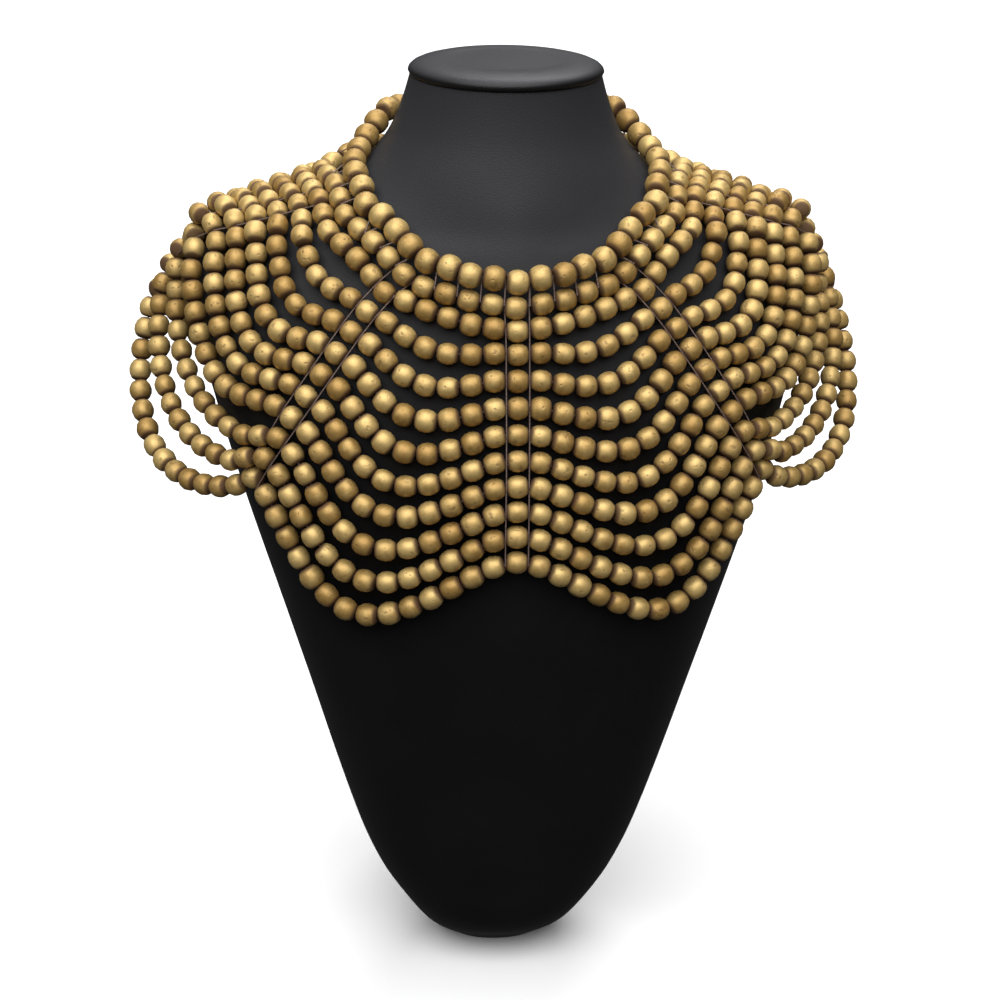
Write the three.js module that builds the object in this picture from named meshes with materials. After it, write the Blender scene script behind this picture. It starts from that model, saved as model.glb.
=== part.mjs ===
// Bib necklace of gold-painted wooden beads, worn by the plain neck bust that displays it.
// Millimetres, +Z up. The front faces -Y, and the origin is the middle of the bust's flat foot.
// Twelve rows of beads hang between ladders of thread: one in the middle of the front, and on
// each side one on the chest, one on the shoulder, one on the back and one at the back opening.
import * as THREE from 'three';

// Driving dimensions of the bust
const bustHeight = 425;          // foot to the top of the neck
const shoulderHalfWidth = 141;
const chestDepth = 83;           // from the ridge of the shoulders forwards
const backDepth = 53;            // from the ridge of the shoulders backwards
const ridgeShift = 10;           // how far the ridge of the shoulders lies behind the neck
const capThickness = 5;
const capOverhang = 1;           // how far the cap stands out past the neck
const capEdgeRadius = 2.2;
const seatGap = 0.3;             // clearance between pieces that touch

// Driving dimensions of the strut behind the bust
const strutWidth = 60;
const strutTop = 235;            // where the strut leaves the bust's back
const strutBottom = 165;
const strutReach = 122;          // how far back its foot stands
const strutFootDepth = 18;

// Driving dimensions of the beads
const rowCount = 12;
const beadDiameter = 10.2;
const beadPitch = 10;            // one bead to the next along a string
const neckBeadDiameter = 11.4;
const neckBeadPitch = 10.25;
const lowRowGrowth = 0.012;      // share by which each row from the first loose one is wider
const beadBoreDiameter = 4.6;    // waist between two neck beads, where their holes meet
const stringTubeDiameter = 7.2;  // a string of beads taken at its mean thickness
const beadSeat = 0.4;            // air under a bead that lies on the bust
const neckRowRise = 2.6;         // how far the neck row rides up on the second row, in front
const secondRowRise = 1.3;
const firstRowPitches = 4;       // beads from ladder to ladder in the neck row, one more each row
const backSlack = 1.1;           // length of a back string over the straight way round
const neckBackSlack = 1.02;      // the same for the neck row, which is drawn up closer
const firstLooseRow = 10;        // from this row on, the strings hang clear off the shoulder

// Driving dimensions of the clasp
const claspDiameter = 6.4;
const claspEndDiameter = 3.2;
const claspClearance = 1.1;

// Facets
const bustSides = 36;
const capSides = 32;
const beadSides = 10;
const tubeSides = 8;
const claspSides = 12;

// Sections of the bust, as shares of the sizes above.
// height of bustHeight, width of shoulderHalfWidth, front of chestDepth, back of backDepth,
// power of the rounded outline (2 is an ellipse), ridge of ridgeShift.
const bustSections = [
  { height: 0.000, width: 0.15, front: 0.20, back: 0.46, power: 2.2, ridge: 0.0 },
  { height: 0.015, width: 0.23, front: 0.30, back: 0.56, power: 2.2, ridge: 0.0 },
  { height: 0.035, width: 0.28, front: 0.45, back: 0.62, power: 2.2, ridge: 0.0 },
  { height: 0.065, width: 0.34, front: 0.56, back: 0.67, power: 2.3, ridge: 0.0 },
  { height: 0.100, width: 0.41, front: 0.61, back: 0.71, power: 2.3, ridge: 0.0 },
  { height: 0.165, width: 0.49, front: 0.69, back: 0.76, power: 2.4, ridge: 0.0 },
  { height: 0.320, width: 0.63, front: 0.85, back: 0.84, power: 2.5, ridge: 0.0 },
  { height: 0.450, width: 0.75, front: 0.94, back: 0.89, power: 2.5, ridge: 0.0 },
  { height: 0.565, width: 0.86, front: 1.00, back: 0.94, power: 2.4, ridge: 0.2 },
  { height: 0.670, width: 0.95, front: 1.00, back: 0.98, power: 2.1, ridge: 0.6 },
  { height: 0.740, width: 1.00, front: 0.97, back: 1.00, power: 1.8, ridge: 0.9 },
  { height: 0.785, width: 1.00, front: 0.93, back: 1.00, power: 1.6, ridge: 1.0 },
  { height: 0.815, width: 0.96, front: 0.88, back: 0.98, power: 1.5, ridge: 1.0 },
  { height: 0.840, width: 0.88, front: 0.83, back: 0.96, power: 1.5, ridge: 0.9 },
  { height: 0.860, width: 0.74, front: 0.78, back: 0.94, power: 1.5, ridge: 0.8 },
  { height: 0.885, width: 0.55, front: 0.72, back: 0.91, power: 1.7, ridge: 0.6 },
  { height: 0.915, width: 0.42, front: 0.64, back: 0.87, power: 2.0, ridge: 0.4 },
  { height: 0.950, width: 0.35, front: 0.56, back: 0.82, power: 2.0, ridge: 0.2 },
  { height: 1.000, width: 0.30, front: 0.50, back: 0.80, power: 2.0, ridge: 0.0 },
];
const sectionRingCount = 2;

// Where the ladders cross some rows on the wearer's right, before they are laid on the bust:
// across as a share of shoulderHalfWidth, depth of chestDepth, height of bustHeight.
const ladderRows = [1, 4, 7, 10, 12];
const ladders = {
  frontMiddle: [
    [0, -0.82, 0.815],
    [0, -0.91, 0.750],
    [0, -0.99, 0.670],
    [0, -1.03, 0.590],
    [0, -1.03, 0.535],
  ],
  chest: [
    [-0.26, -0.71, 0.835],
    [-0.45, -0.71, 0.785],
    [-0.59, -0.73, 0.720],
    [-0.73, -0.69, 0.650],
    [-0.81, -0.58, 0.600],
  ],
  shoulder: [
    [-0.45, -0.44, 0.880],
    [-0.65, -0.20, 0.870],
    [-0.85, -0.10, 0.850],
    [-1.02, 0.24, 0.805],
    [-1.11, 0.50, 0.745],
  ],
  back: [
    [-0.38, 0.28, 0.955],
    [-0.55, 0.50, 0.855],
    [-0.65, 0.66, 0.785],
    [-0.71, 0.74, 0.710],
    [-0.74, 0.75, 0.655],
  ],
  backEdge: [
    [-0.09, 0.60, 0.950],
    [-0.09, 0.70, 0.870],
    [-0.09, 0.76, 0.790],
    [-0.09, 0.80, 0.710],
    [-0.09, 0.80, 0.655],
  ],
};

// The stretches between two ladders, with the way in which their strings sag, and the ways in
// which those that hang clear off the shoulder do at their first and their last end.
const stretches = [
  { from: 'frontMiddle', to: 'chest', sag: [-0.30, 0, -0.95], closeness: 1, pitchesPerStep: 2 },
  { from: 'chest', to: 'shoulder', sag: [-0.45, 0.10, -0.89], looseSag: [-0.55, 0, -0.85],
    looseSagEnd: [-0.70, 0.25, -0.70], closeness: 0.965, pitchesPerStep: 1.5 },
  { from: 'shoulder', to: 'back', sag: [-0.35, 0.35, -0.87], hidden: true, closeness: 1,
    pitchesPerStep: 1.5 },
  { from: 'back', to: 'backEdge', sag: [-0.10, 0.20, -0.96], hidden: true, closeness: 1,
    pitchesPerStep: 2 },
];

// Colours and finishes
const leatherette = new THREE.MeshStandardMaterial({ color: 0x2a2a2d, roughness: 0.55 });
const goldPaint = new THREE.MeshStandardMaterial({ color: 0xb08d4f, roughness: 0.5, metalness: 0.35 });
const brass = new THREE.MeshStandardMaterial({ color: 0xc09a50, roughness: 0.35, metalness: 0.9 });

const rowRadius = (row) => (row === 1 ? neckBeadDiameter : beadDiameter) / 2;
const rowPitch = (row) => (row === 1
  ? neckBeadPitch
  : beadPitch * (1 + lowRowGrowth * Math.max(0, row + 1 - firstLooseRow)));
const rowRise = (row) => ({ 1: neckRowRise, 2: secondRowRise })[row] ?? 0;

// How high over the bust the middle of a bead of this row lies, at a given depth.
function seatHeight(row, y) {
  const inFront = Math.max(0, -y / chestDepth);
  return rowRadius(row) + beadSeat + rowRise(row) * inFront;
}

// The bust's section at a height, with its columns carried smoothly from row to row.
const sectionColumns = ['width', 'front', 'back', 'power', 'ridge'];
const columnScale = {
  width: shoulderHalfWidth, front: chestDepth, back: backDepth, power: 1, ridge: ridgeShift,
};

function slopeAt(index, column) {
  const at = (i) => bustSections[i][column];
  const rise = (i) => (at(i + 1) - at(i)) / (bustSections[i + 1].height - bustSections[i].height);
  if (index === 0) return rise(0);
  if (index === bustSections.length - 1) return rise(index - 1);
  return (rise(index - 1) + rise(index)) / 2;
}

const slopes = bustSections.map((_, index) =>
  Object.fromEntries(sectionColumns.map((column) => [column, slopeAt(index, column)])));

function bustSectionAt(z) {
  const height = Math.min(Math.max(z / bustHeight, 0), 1);
  let index = 0;
  while (index < bustSections.length - 2 && bustSections[index + 1].height < height) index += 1;
  const low = bustSections[index];
  const high = bustSections[index + 1];
  const span = high.height - low.height;
  const t = (height - low.height) / span;
  const section = {};
  for (const column of sectionColumns) {
    const value =
      (2 * t ** 3 - 3 * t ** 2 + 1) * low[column] +
      (t ** 3 - 2 * t ** 2 + t) * span * slopes[index][column] +
      (3 * t ** 2 - 2 * t ** 3) * high[column] +
      (t ** 3 - t ** 2) * span * slopes[index + 1][column];
    section[column] = value * columnScale[column];
  }
  return section;
}

// How far a point lies outside the bust, and the way out.
function bustLevel(x, y, z) {
  const section = bustSectionAt(z);
  const depth = y < section.ridge ? section.front : section.back;
  const across = (Math.abs(x) / section.width) ** section.power;
  const along = (Math.abs(y - section.ridge) / depth) ** section.power;
  return (across + along) ** (1 / section.power) - 1;
}

const probe = 0.5;

function outsideBust(point) {
  const { x, y, z } = point;
  const way = new THREE.Vector3(
    bustLevel(x + probe, y, z) - bustLevel(x - probe, y, z),
    bustLevel(x, y + probe, z) - bustLevel(x, y - probe, z),
    bustLevel(x, y, z + probe) - bustLevel(x, y, z - probe),
  ).divideScalar(2 * probe);
  const steepness = way.length();
  return { distance: bustLevel(x, y, z) / steepness, way: way.divideScalar(steepness) };
}

// Moves a row's point off the bust to its seat; a clinging point is also drawn down to it.
const layRounds = 5;

function layOnBust(point, row, clings) {
  for (let round = 0; round < layRounds; round += 1) {
    const { distance, way } = outsideBust(point);
    const error = distance - seatHeight(row, point.y);
    if (error < 0 || clings) point.addScaledVector(way, -error);
  }
  return point;
}

// The bead of a row that sits on a ladder.
function ladderBead(name, row) {
  const point = new THREE.Vector3();
  ladders[name].forEach(([across, depth, height], index) => {
    let weight = 1;
    ladderRows.forEach((other, otherIndex) => {
      if (otherIndex !== index) weight *= (row - other) / (ladderRows[index] - other);
    });
    point.x += weight * across * shoulderHalfWidth;
    point.y += weight * depth * chestDepth;
    point.z += weight * height * bustHeight;
  });
  const loose = name === 'shoulder' && row >= firstLooseRow;
  return layOnBust(point, row, !loose);
}

function lineLength(points) {
  let length = 0;
  for (let i = 1; i < points.length; i += 1) length += points[i].distanceTo(points[i - 1]);
  return length;
}

// Points at equal steps along a line.
function spread(points, steps) {
  const total = lineLength(points);
  const result = [points[0].clone()];
  let index = 1;
  let passed = 0;
  for (let step = 1; step < steps; step += 1) {
    const wanted = (total * step) / steps;
    while (passed + points[index].distanceTo(points[index - 1]) < wanted) {
      passed += points[index].distanceTo(points[index - 1]);
      index += 1;
    }
    const share = (wanted - passed) / points[index].distanceTo(points[index - 1]);
    result.push(points[index - 1].clone().lerp(points[index], share));
  }
  result.push(points[points.length - 1].clone());
  return result;
}

// One string between two ladders: it sags until it is as long as its beads are together.
const stringSampleCount = 48;
const deepestSag = 90;
const halvingRounds = 16;
const sagPeak = 1.6;             // a string that lies on the bust leaves its ladders straight
const looseSagPeak = 0.75;       // and one that hangs clear turns down at once

function hangString(stretch, row) {
  const start = ladderBead(stretch.from, row);
  const end = ladderBead(stretch.to, row);
  const loose = row >= firstLooseRow && (stretch.from === 'shoulder' || stretch.to === 'shoulder');
  const firstPull = new THREE.Vector3(...((loose && stretch.looseSag) || stretch.sag));
  const lastPull = new THREE.Vector3(...((loose && stretch.looseSagEnd) || stretch.sag));
  const base = [];
  for (let i = 0; i <= stringSampleCount; i += 1) {
    const point = start.clone().lerp(end, i / stringSampleCount);
    const pull = firstPull.clone().lerp(lastPull, i / stringSampleCount).normalize();
    if (loose) {
      base.push({ point, way: pull });
    } else {
      layOnBust(point, row, true);
      const out = outsideBust(point).way;
      const way = pull.clone().addScaledVector(out, -pull.dot(out)).normalize();
      base.push({ point, way });
    }
  }
  const sagged = (sag) => base.map(({ point, way }, i) => {
    if (i === 0) return start;
    if (i === stringSampleCount) return end;
    const peak = loose ? looseSagPeak : sagPeak;
    const drop = sag * Math.sin((Math.PI * i) / stringSampleCount) ** peak;
    return layOnBust(point.clone().addScaledVector(way, drop), row, !loose);
  });
  const straight = lineLength(sagged(0));
  const slack = row === 1 ? neckBackSlack : backSlack;
  const pitches = stretch.hidden
    ? Math.round((straight * slack) / rowPitch(row))
    : firstRowPitches + row - 1;
  const pitch = rowPitch(row) * stretch.closeness;
  const wanted = stretch.hidden ? straight * slack : pitches * pitch;
  let low = 0;
  let high = straight < wanted ? deepestSag : 0;
  for (let i = 0; i < halvingRounds; i += 1) {
    const middle = (low + high) / 2;
    if (lineLength(sagged(middle)) < wanted) low = middle;
    else high = middle;
  }
  return { beads: spread(sagged((low + high) / 2), pitches), pitch: wanted / pitches };
}

// All beads of one side, row by row from the front's middle to the back opening.
function hangNet() {
  const beads = [];
  const links = [];
  for (let row = 1; row <= rowCount; row += 1) {
    stretches.forEach((stretch, index) => {
      const { beads: string, pitch } = hangString(stretch, row);
      string.forEach((point, i) => {
        if (index > 0 && i === 0) return;
        if (index > 0 || i > 0) links.push({ bead: beads.length, pitch });
        const onLadder = i === 0 || i === string.length - 1;
        beads.push({ point, row, stretch: index, onLadder, home: point.clone() });
      });
    });
  }
  return { beads, links };
}

// Settles the net: beads keep their pitch along a string, stay clear of each other and of the
// bust, and the ladders hold theirs near their place.
const settleRounds = 120;
const settleEagerness = 1.3;
const ladderHoldShare = 0.05;
const beadSqueeze = 0.15;        // how far two painted beads may press into each other
const neckRowStandOff = 0.6;     // air between the neck row and the second

function settleNet({ beads, links }) {
  const linked = new Set(links.map(({ bead }) => bead));
  const apart = (a, b) => {
    const underNeckRow = a.row === 1 && b.row === 2;
    return rowRadius(a.row) + rowRadius(b.row) - beadSqueeze + (underNeckRow ? neckRowStandOff : 0);
  };
  const moves = beads.map(() => ({ sum: new THREE.Vector3(), count: 0 }));
  const push = (index, way, amount) => {
    moves[index].sum.addScaledVector(way, amount);
    moves[index].count += 1;
  };
  const way = new THREE.Vector3();
  for (let round = 0; round < settleRounds; round += 1) {
    moves.forEach((move) => {
      move.sum.set(0, 0, 0);
      move.count = 0;
    });
    for (const { bead, pitch } of links) {
      way.subVectors(beads[bead].point, beads[bead - 1].point);
      const error = (way.length() - pitch) / 2;
      way.normalize();
      push(bead - 1, way, error);
      push(bead, way, -error);
    }
    for (let a = 0; a < beads.length; a += 1) {
      for (let b = a + 1; b < beads.length; b += 1) {
        if (b === a + 1 && linked.has(b)) continue;
        way.subVectors(beads[a].point, beads[b].point);
        const overlap = apart(beads[a], beads[b]) - way.length();
        if (overlap <= 0) continue;
        way.normalize();
        push(a, way, overlap / 2);
        push(b, way, -overlap / 2);
      }
    }
    beads.forEach((bead, index) => {
      const { sum, count } = moves[index];
      if (count > 0) bead.point.addScaledVector(sum, settleEagerness / count);
      if (bead.onLadder) bead.point.lerp(bead.home, ladderHoldShare);
      if (bead.home.x === 0) bead.point.x = 0;
      const { distance, way: out } = outsideBust(bead.point);
      const sunk = seatHeight(bead.row, bead.point.y) - distance;
      if (sunk > 0) bead.point.addScaledVector(out, sunk);
    });
  }
  return beads;
}

const settledBeads = settleNet(hangNet());

const mirrored = (point) => new THREE.Vector3(-point.x, point.y, point.z);

// The centres of a row's beads on one side.
const halfRow = (row) => settledBeads.filter((bead) => bead.row === row);

// A line from one back edge round the front to the other.
function wholeLine(half) {
  const others = half.slice(1).map(mirrored);
  return [...half.slice().reverse(), ...others];
}

// Joins rings of points into one closed body, with a fan over each end.
function skinRings(rings) {
  const sides = rings[0].length;
  const positions = [];
  const triangles = [];
  const middle = (ring) => ring
    .reduce((sum, point) => sum.add(point), new THREE.Vector3())
    .divideScalar(sides);
  rings.forEach((ring) => ring.forEach((point) => positions.push(...point.toArray())));
  positions.push(...middle(rings[0]).toArray());
  positions.push(...middle(rings[rings.length - 1]).toArray());
  const firstMiddle = rings.length * sides;
  const lastMiddle = firstMiddle + 1;
  const lastRing = (rings.length - 1) * sides;
  for (let side = 0; side < sides; side += 1) {
    const next = (side + 1) % sides;
    triangles.push(firstMiddle, next, side);
    triangles.push(lastMiddle, lastRing + side, lastRing + next);
    for (let ring = 0; ring < rings.length - 1; ring += 1) {
      const low = ring * sides;
      const high = low + sides;
      triangles.push(low + side, low + next, high + next);
      triangles.push(low + side, high + next, high + side);
    }
  }
  const geometry = new THREE.BufferGeometry();
  geometry.setAttribute('position', new THREE.Float32BufferAttribute(positions, 3));
  geometry.setIndex(triangles);
  geometry.computeVertexNormals();
  return geometry;
}

// The bust's torso and neck, one skin over its sections.
function bustBodyGeometry() {
  const heights = [];
  bustSections.slice(1).forEach((section, index) => {
    const below = bustSections[index].height;
    for (let i = 0; i < sectionRingCount; i += 1) {
      heights.push(below + ((section.height - below) * i) / sectionRingCount);
    }
  });
  heights.push(1);
  const rings = heights.map((height) => {
    const z = height * bustHeight;
    const section = bustSectionAt(z);
    const ring = [];
    for (let side = 0; side < bustSides; side += 1) {
      const angle = (2 * Math.PI * side) / bustSides;
      const reach = (value) => Math.sign(value) * Math.abs(value) ** (2 / section.power);
      const depth = Math.sin(angle) < 0 ? section.front : section.back;
      const x = section.width * reach(Math.cos(angle));
      const y = section.ridge + depth * reach(Math.sin(angle));
      ring.push(new THREE.Vector3(x, y, z));
    }
    return ring;
  });
  return skinRings(rings);
}

// The padded disc that closes the neck.
function bustCapGeometry() {
  const radius = bustSectionAt(bustHeight).width + capOverhang;
  const profile = [new THREE.Vector2(0, 0)];
  const corner = (height, from) => {
    for (let i = 0; i <= 2; i += 1) {
      const angle = from + (Math.PI / 4) * i;
      profile.push(new THREE.Vector2(
        radius - capEdgeRadius + capEdgeRadius * Math.cos(angle),
        height + capEdgeRadius * Math.sin(angle),
      ));
    }
  };
  corner(capEdgeRadius, -Math.PI / 2);
  corner(capThickness - capEdgeRadius, 0);
  profile.push(new THREE.Vector2(0, capThickness));
  return new THREE.LatheGeometry(profile, capSides).rotateX(Math.PI / 2);
}

// The strut that keeps the bust from tipping back: a board that follows the back where it is
// fixed and runs down to a foot of its own.
const strutSeatStepCount = 4;

function bustStrutGeometry() {
  const outline = new THREE.Shape();
  outline.moveTo(strutReach - strutFootDepth, 0);
  outline.lineTo(strutReach, 0);
  for (let i = 0; i <= strutSeatStepCount; i += 1) {
    const z = strutTop + ((strutBottom - strutTop) * i) / strutSeatStepCount;
    const section = bustSectionAt(z);
    outline.lineTo(section.ridge + section.back + seatGap, z);
  }
  outline.closePath();
  const options = { depth: strutWidth, bevelEnabled: false };
  return new THREE.ExtrudeGeometry(outline, options)
    .translate(0, 0, -strutWidth / 2)
    .rotateY(Math.PI / 2)
    .rotateX(Math.PI / 2);
}

// The neck row: real beads, fused where their holes meet.
function neckRowGeometry() {
  const centres = wholeLine(halfRow(1).map(({ point }) => point));
  const beadRings = [
    { along: -0.5, radius: beadBoreDiameter / 2 },
    { along: -0.27, radius: 0.9 * rowRadius(1) },
    { along: 0, radius: rowRadius(1) },
    { along: 0.27, radius: 0.9 * rowRadius(1) },
  ];
  const last = centres.length - 1;
  const stations = centres.flatMap((_, index) =>
    beadRings.map(({ along, radius }) => ({ at: index + along, radius })));
  stations.push({ at: last + 0.5, radius: beadBoreDiameter / 2 });
  const pointAt = (at) => {
    const index = Math.min(Math.max(Math.floor(at), 0), last - 1);
    return centres[index].clone().lerp(centres[index + 1], at - index);
  };
  const up = new THREE.Vector3(0, 0, 1);
  const rings = stations.map(({ at, radius }) => {
    const centre = pointAt(at);
    const along = pointAt(at + 0.5).sub(pointAt(at - 0.5)).normalize();
    const across = new THREE.Vector3().crossVectors(along, up).normalize();
    const over = new THREE.Vector3().crossVectors(across, along);
    const ring = [];
    for (let side = 0; side < beadSides; side += 1) {
      const angle = (-2 * Math.PI * side) / beadSides;
      ring.push(centre.clone()
        .addScaledVector(across, radius * Math.cos(angle))
        .addScaledVector(over, radius * Math.sin(angle)));
    }
    return ring;
  });
  return skinRings(rings);
}

// A path that runs straight from one chosen point to the next.
class PointedPath extends THREE.Curve {
  constructor(points) {
    super();
    this.points = points;
  }

  getPoint(t) {
    const last = this.points.length - 1;
    const at = Math.min(Math.max(t, 0), 1) * last;
    const index = Math.min(Math.floor(at), last - 1);
    return this.points[index].clone().lerp(this.points[index + 1], at - index);
  }

  getPointAt(share) {
    return this.getPoint(share);
  }

  getTangentAt(share) {
    const reach = 0.5 / (this.points.length - 1);
    return this.getPoint(share + reach).sub(this.getPoint(share - reach)).normalize();
  }
}

// The points of a string's tube on one side: the beads' line, let down onto the bust.
const tubeNearness = 2.5;        // beads this close over their seat count as lying
const tubeLift = 0.2;

function tubePoints(row) {
  const half = halfRow(row);
  const radius = stringTubeDiameter / 2;
  const points = [half[0].point.clone()];
  stretches.forEach((stretch, index) => {
    const own = half.filter((bead) => bead.stretch === index).map(({ point }) => point);
    const first = half.findIndex((bead) => bead.stretch === index);
    const line = index === 0 ? own : [half[first - 1].point, ...own];
    const steps = Math.max(2, Math.round((line.length - 1) / stretch.pitchesPerStep));
    points.push(...spread(line, steps).slice(1));
  });
  points.forEach((point) => {
    const { distance, way } = outsideBust(point);
    if (distance > rowRadius(row) + tubeNearness) return;
    point.addScaledVector(way, radius + seatGap + tubeLift - distance);
  });
  for (let round = 0; round < layRounds; round += 1) {
    for (let i = 1; i < points.length; i += 1) {
      const { distance, way } = outsideBust(points[i].clone().lerp(points[i - 1], 0.5));
      const sunk = radius + seatGap - distance;
      if (sunk <= 0) continue;
      points[i].addScaledVector(way, sunk);
      points[i - 1].addScaledVector(way, sunk);
      if (i === 1) points[0].x = Math.min(points[0].x, 0);
    }
    points[0].x = 0;
  }
  return points;
}

// The strings of rows 2 to 12, as tubes.
function stringGeometry(row) {
  const points = wholeLine(tubePoints(row));
  const corners = [];
  for (let side = 0; side < tubeSides; side += 1) {
    const angle = (2 * Math.PI * side) / tubeSides;
    const radius = stringTubeDiameter / 2;
    corners.push(new THREE.Vector2(radius * Math.cos(angle), radius * Math.sin(angle)));
  }
  return new THREE.ExtrudeGeometry(new THREE.Shape(corners), {
    steps: points.length - 1,
    bevelEnabled: false,
    extrudePath: new PointedPath(points),
  });
}

// A plain barrel clasp that closes the neck row at the back.
function claspGeometry(length) {
  const end = claspEndDiameter / 2;
  const body = claspDiameter / 2;
  const profile = [
    new THREE.Vector2(0, -length / 2),
    new THREE.Vector2(end, -length / 2),
    new THREE.Vector2(body, -length / 4),
    new THREE.Vector2(body, length / 4),
    new THREE.Vector2(end, length / 2),
    new THREE.Vector2(0, length / 2),
  ];
  return new THREE.LatheGeometry(profile, claspSides).rotateZ(Math.PI / 2);
}

function addPiece(parent, name, geometry, material) {
  const mesh = new THREE.Mesh(geometry, material);
  mesh.name = name;
  parent.add(mesh);
  return mesh;
}

const necklaceOnBust = new THREE.Group();
addPiece(necklaceOnBust, 'bust_body', bustBodyGeometry(), leatherette);
const cap = addPiece(necklaceOnBust, 'bust_cap', bustCapGeometry(), leatherette);
cap.position.z = bustHeight + seatGap;
addPiece(necklaceOnBust, 'bust_strut', bustStrutGeometry(), leatherette);
addPiece(necklaceOnBust, 'neck_row', neckRowGeometry(), goldPaint);
for (let row = 2; row <= rowCount; row += 1) {
  const name = `row_${String(row).padStart(2, '0')}`;
  addPiece(necklaceOnBust, name, stringGeometry(row), goldPaint);
}
const lastNeckBead = halfRow(1).at(-1).point;
const claspLength = 2 * (-lastNeckBead.x - neckBeadPitch / 2 - claspClearance);
const clasp = addPiece(necklaceOnBust, 'clasp', claspGeometry(claspLength), brass);
clasp.position.set(0, lastNeckBead.y, lastNeckBead.z);

export default necklaceOnBust;
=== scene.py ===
"""Looks of a bib necklace on its neck bust: real beads, threads and leatherette."""
import math

import bpy
import numpy as np
from mathutils import Matrix, Quaternion, Vector


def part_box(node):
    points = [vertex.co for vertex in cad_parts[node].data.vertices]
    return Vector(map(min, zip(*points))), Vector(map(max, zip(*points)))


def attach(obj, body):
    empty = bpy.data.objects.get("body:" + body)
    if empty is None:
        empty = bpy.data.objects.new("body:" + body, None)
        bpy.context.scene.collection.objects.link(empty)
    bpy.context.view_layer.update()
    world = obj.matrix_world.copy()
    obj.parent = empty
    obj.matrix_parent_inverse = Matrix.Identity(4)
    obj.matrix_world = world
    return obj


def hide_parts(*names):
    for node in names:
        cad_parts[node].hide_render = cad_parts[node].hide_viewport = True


bl_info = {
    "name": "Bib Necklace Display",
    "version": (1, 0, 0),
    "blender": (4, 5, 0),
    "location": "3D View > Sidebar > Necklace",
    "description": "Dresses a neck bust with a bib necklace of gold-painted wooden beads",
    "category": "Object",
}

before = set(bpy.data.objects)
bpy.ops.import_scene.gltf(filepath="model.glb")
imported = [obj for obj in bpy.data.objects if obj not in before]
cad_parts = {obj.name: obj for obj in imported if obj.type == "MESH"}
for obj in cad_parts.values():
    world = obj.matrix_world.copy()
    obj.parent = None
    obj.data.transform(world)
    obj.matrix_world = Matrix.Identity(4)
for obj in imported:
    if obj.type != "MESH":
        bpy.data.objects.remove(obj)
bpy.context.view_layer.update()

# Sizes of the bust that the net of beads is hung on, in metres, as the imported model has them
BUST_HEIGHT = 0.425
SHOULDER_HALF_WIDTH = 0.141
CHEST_DEPTH = 0.083
BACK_DEPTH = 0.053
RIDGE_SHIFT = 0.010

# Sizes of the beads and of the way they are strung
ROW_COUNT = 12
BEAD_DIAMETER = 0.0102
BEAD_PITCH = 0.010               # one bead to the next along a string
NECK_BEAD_DIAMETER = 0.0114
NECK_BEAD_PITCH = 0.01025
LOW_ROW_GROWTH = 0.012           # how much wider each of the lowest rows is strung
BEAD_SEAT = 0.0004               # air under a bead that lies on the bust
ROW_RISE = {1: 0.0026, 2: 0.0013}  # how far the top rows stand off the front of the neck
FIRST_ROW_PITCHES = 4            # pitches of the neck row between two ladders in front
BACK_SLACK = 1.1                 # length of a back string over the straight way round
NECK_BACK_SLACK = 1.02
FIRST_LOOSE_ROW = 10             # from this row on the strings hang free over the arm

# Sections of the bust as shares of those sizes, from the foot to the top of the neck: height, half
# width, depth in front and behind, power of the outline's curve, and shift of its widest line
BUST_SECTIONS = np.array([
    (0.000, 0.15, 0.20, 0.46, 2.2, 0.0),
    (0.015, 0.23, 0.30, 0.56, 2.2, 0.0),
    (0.035, 0.28, 0.45, 0.62, 2.2, 0.0),
    (0.065, 0.34, 0.56, 0.67, 2.3, 0.0),
    (0.100, 0.41, 0.61, 0.71, 2.3, 0.0),
    (0.165, 0.49, 0.69, 0.76, 2.4, 0.0),
    (0.320, 0.63, 0.85, 0.84, 2.5, 0.0),
    (0.450, 0.75, 0.94, 0.89, 2.5, 0.0),
    (0.565, 0.86, 1.00, 0.94, 2.4, 0.2),
    (0.670, 0.95, 1.00, 0.98, 2.1, 0.6),
    (0.740, 1.00, 0.97, 1.00, 1.8, 0.9),
    (0.785, 1.00, 0.93, 1.00, 1.6, 1.0),
    (0.815, 0.96, 0.88, 0.98, 1.5, 1.0),
    (0.840, 0.88, 0.83, 0.96, 1.5, 0.9),
    (0.860, 0.74, 0.78, 0.94, 1.5, 0.8),
    (0.885, 0.55, 0.72, 0.91, 1.7, 0.6),
    (0.915, 0.42, 0.64, 0.87, 2.0, 0.4),
    (0.950, 0.35, 0.56, 0.82, 2.0, 0.2),
    (1.000, 0.30, 0.50, 0.80, 2.0, 0.0),
])
COLUMN_SCALE = (BUST_HEIGHT, SHOULDER_HALF_WIDTH, CHEST_DEPTH, BACK_DEPTH, 1.0, RIDGE_SHIFT)

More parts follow.
